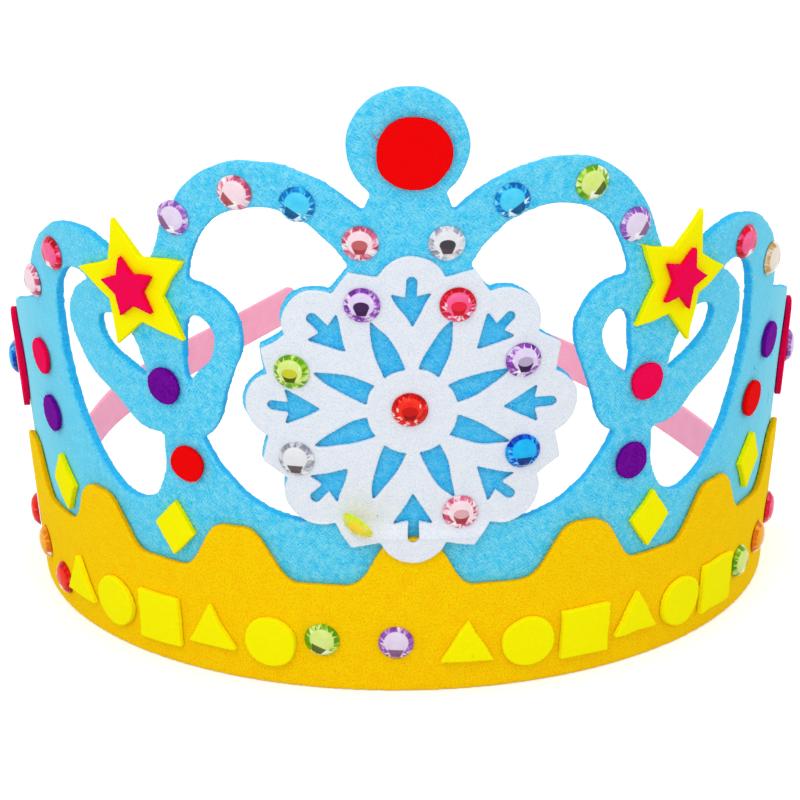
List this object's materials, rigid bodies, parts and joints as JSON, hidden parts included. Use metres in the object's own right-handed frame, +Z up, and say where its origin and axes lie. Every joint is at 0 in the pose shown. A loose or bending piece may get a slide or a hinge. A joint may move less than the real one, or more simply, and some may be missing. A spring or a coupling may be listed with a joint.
{
  "type": "paper crown",
  "caption": "Party crown of bent felt scrollwork with a wave band, glued stars, dots and faceted stones, and two loose straps behind; it stands on its foot.",
  "frame": {"origin": "On the crown's vertical axis, level with the foot it stands on, in the middle of the opening for the head.", "axes": "+Z up, from the foot to the knob. -Y is the front, where the knob and the snowflake are. +X is the viewer's right when facing the front. The straps run back towards +Y."},
  "size_m": [0.192, 0.2402, 0.1435],
  "materials": {
    "blue_felt": "soft fuzzy felt",
    "orange_felt": "soft fuzzy felt",
    "white_felt": "soft fuzzy felt",
    "yellow_felt": "soft fuzzy felt",
    "crimson_felt": "soft fuzzy felt",
    "red_felt": "soft fuzzy felt",
    "purple_felt": "soft fuzzy felt",
    "pink_strap": "soft matte",
    "stone_sky": "polished, faceted",
    "stone_pink": "polished, faceted",
    "stone_lilac": "polished, faceted",
    "stone_violet": "polished, faceted",
    "stone_lime": "polished, faceted",
    "stone_crimson": "polished, faceted",
    "stone_cream": "polished, faceted",
    "stone_clear": "polished, faceted",
    "stone_red": "polished, faceted",
    "stone_blue": "polished, faceted",
    "stone_amber": "polished, faceted"
  },
  "bodies": {
    "root": {"band_shapes_left": "yellow_felt", "band_shapes_right": "yellow_felt", "crown_sheet": "blue_felt", "diamond_left": "yellow_felt", "diamond_right": "yellow_felt", "dot_column_left": "red_felt", "dot_column_right": "purple_felt", "dot_heart_left": "purple_felt", "dot_heart_right": "crimson_felt", "dot_panel_left": "purple_felt", "dot_panel_right": "red_felt", "dot_panel_top_left": "crimson_felt", "dot_panel_top_right": "purple_felt", "knob_disc": "red_felt", "side_diamond_left": "yellow_felt", "side_diamond_right": "yellow_felt", "side_disc_left": "crimson_felt", "side_disc_right": "crimson_felt", "small_star_left": "crimson_felt", "small_star_right": "crimson_felt", "snowflake": "white_felt", "star_left": "yellow_felt", "star_right": "yellow_felt", "stone_arch_left_1": "stone_sky", "stone_arch_left_2": "stone_pink", "stone_arch_left_3": "stone_lilac", "stone_arch_right_1": "stone_sky", "stone_arch_right_2": "stone_lime", "stone_arch_right_3": "stone_lilac", "stone_band_front_1": "stone_lime", "stone_band_front_2": "stone_lilac", "stone_band_left_1": "stone_red", "stone_band_left_2": "stone_amber", "stone_band_left_3": "stone_red", "stone_band_right_1": "stone_lime", "stone_band_right_2": "stone_amber", "stone_band_right_3": "stone_crimson", "stone_disc_left": "stone_blue", "stone_disc_right": "stone_lilac", "stone_hub": "stone_red", "stone_neck_left": "stone_pink", "stone_neck_right": "stone_clear", "stone_side_arch_left_1": "stone_crimson", "stone_side_arch_left_2": "stone_pink", "stone_side_arch_right_1": "stone_crimson", "stone_side_arch_right_2": "stone_cream", "stone_snowflake_1": "stone_violet", "stone_snowflake_2": "stone_crimson", "stone_snowflake_3": "stone_violet", "stone_snowflake_4": "stone_lime", "stone_snowflake_5": "stone_clear", "stone_snowflake_6": "stone_lime", "stone_snowflake_7": "stone_pink", "stone_snowflake_8": "stone_blue", "strap_left": "pink_strap", "strap_right": "pink_strap", "wave_band": "orange_felt"}
  },
  "joints": []
}
